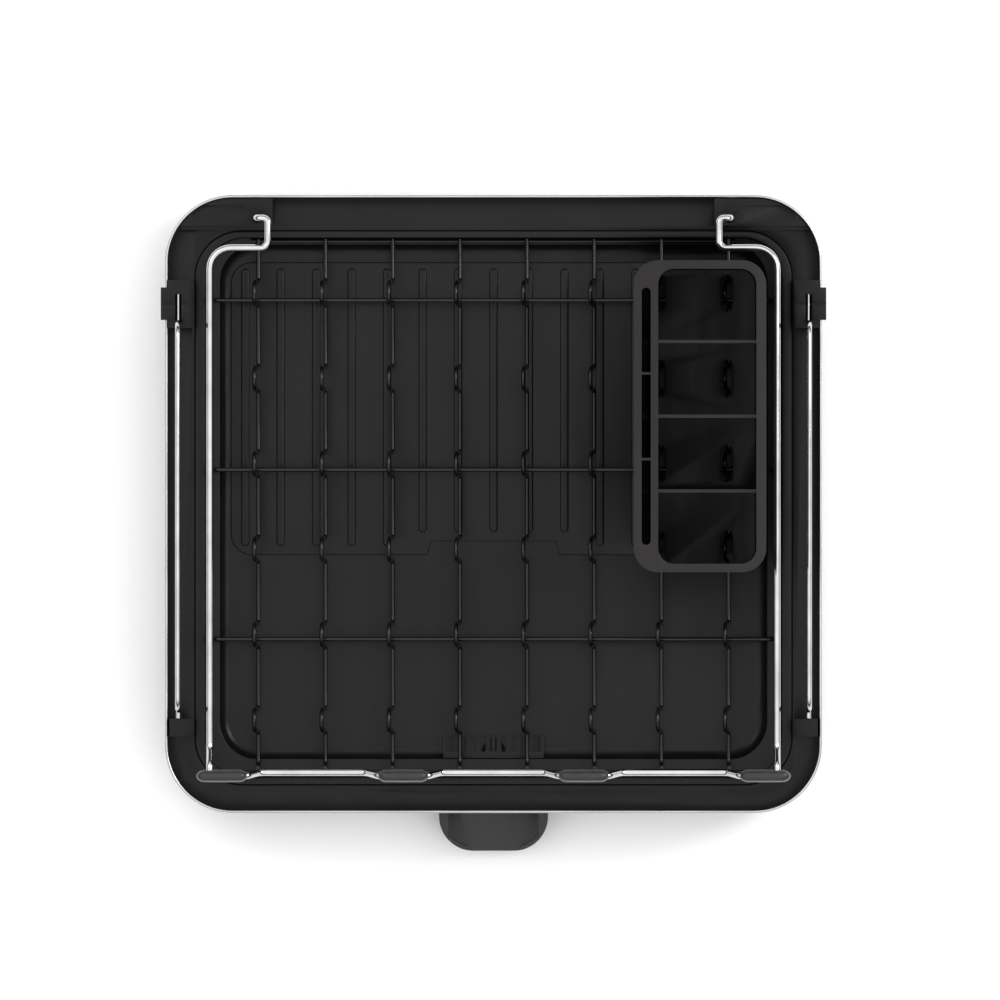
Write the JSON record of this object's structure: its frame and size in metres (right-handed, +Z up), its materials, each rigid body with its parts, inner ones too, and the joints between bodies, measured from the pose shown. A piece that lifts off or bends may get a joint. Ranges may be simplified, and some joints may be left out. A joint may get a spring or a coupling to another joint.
{
  "type": "dish drying rack",
  "caption": "Square dish rack: steel band round a black drip tray, lift-out wire basket with plate humps, utensil caddy, swivel spout and fold-out side loops.",
  "frame": {"origin": "on the worktop plane, under the middle of the whole rack's outer box", "axes": "+Z up, -Y to the front where the spout is, +X to the right seen from the front"},
  "size_m": [0.3838, 0.379, 0.1699],
  "materials": {
    "steel_band": "brushed, with a rolled bright upper edge",
    "bright_wire": "polished",
    "black_wire": "satin black coating",
    "base_plastic": "fine moulded texture",
    "tray_plastic": "fine moulded texture",
    "spout_plastic": "satin",
    "caddy_plastic": "fine moulded texture",
    "grip_silicone": "soft matte",
    "pad_rubber": "matte",
    "screw_steel": "plated"
  },
  "bodies": {
    "base": {"steel_band": "steel_band", "base_shell": "base_plastic", "corner_block_left": "base_plastic", "corner_block_right": "base_plastic", "foot_front_left": "base_plastic", "foot_front_right": "base_plastic", "foot_back_left": "base_plastic", "foot_back_right": "base_plastic", "foot_pads": "pad_rubber", "foot_screws": "screw_steel", "loop_clip_left": "base_plastic", "loop_clip_right": "base_plastic", "loop_bracket_left": "base_plastic", "loop_bracket_right": "base_plastic"},
    "tray": {"drip_tray": "tray_plastic", "drain_grate": "tray_plastic"},
    "basket": {"rail_frame": "bright_wire", "front_wire": "black_wire", "back_wire": "black_wire", "cross_wire_1": "black_wire", "cross_wire_2": "black_wire", "cross_wire_3": "black_wire", "plate_wire_1": "black_wire", "plate_wire_2": "black_wire", "plate_wire_3": "black_wire", "plate_wire_4": "black_wire", "plate_wire_5": "black_wire", "plate_wire_6": "black_wire", "plate_wire_7": "black_wire", "plate_wire_8": "black_wire", "grip_1": "grip_silicone", "grip_2": "grip_silicone", "grip_3": "grip_silicone", "grip_4": "grip_silicone"},
    "caddy": {"caddy": "caddy_plastic"},
    "spout": {"spout": "spout_plastic", "spout_ring": "base_plastic"},
    "loop_left": {"side_loop_left": "bright_wire"},
    "loop_right": {"side_loop_right": "bright_wire"}
  },
  "joints": [
    {"name": "tray_lift", "type": "slide", "parent": "base", "child": "tray", "axis": [0, 0, 1], "range_m": [0, 0.1]},
    {"name": "basket_lift", "type": "slide", "parent": "tray", "child": "basket", "axis": [0, 0, 1], "range_m": [0, 0.12]},
    {"name": "caddy_lift", "type": "slide", "parent": "basket", "child": "caddy", "axis": [0, 0, 1], "range_m": [0, 0.13]},
    {"name": "spout_swivel", "type": "hinge", "parent": "base", "child": "spout", "pos_m": [0, -0.1318, 0.02], "axis": [0, 0, 1], "range_deg": [-90, 90]},
    {"name": "loop_left_fold", "type": "hinge", "parent": "base", "child": "loop_left", "pos_m": [-0.1818, 0.0042, 0.0805], "axis": [0, -1, 0], "range_deg": [0, 90]},
    {"name": "loop_right_fold", "type": "hinge", "parent": "base", "child": "loop_right", "pos_m": [0.1818, 0.0042, 0.0805], "axis": [0, 1, 0], "range_deg": [0, 90]}
  ]
}
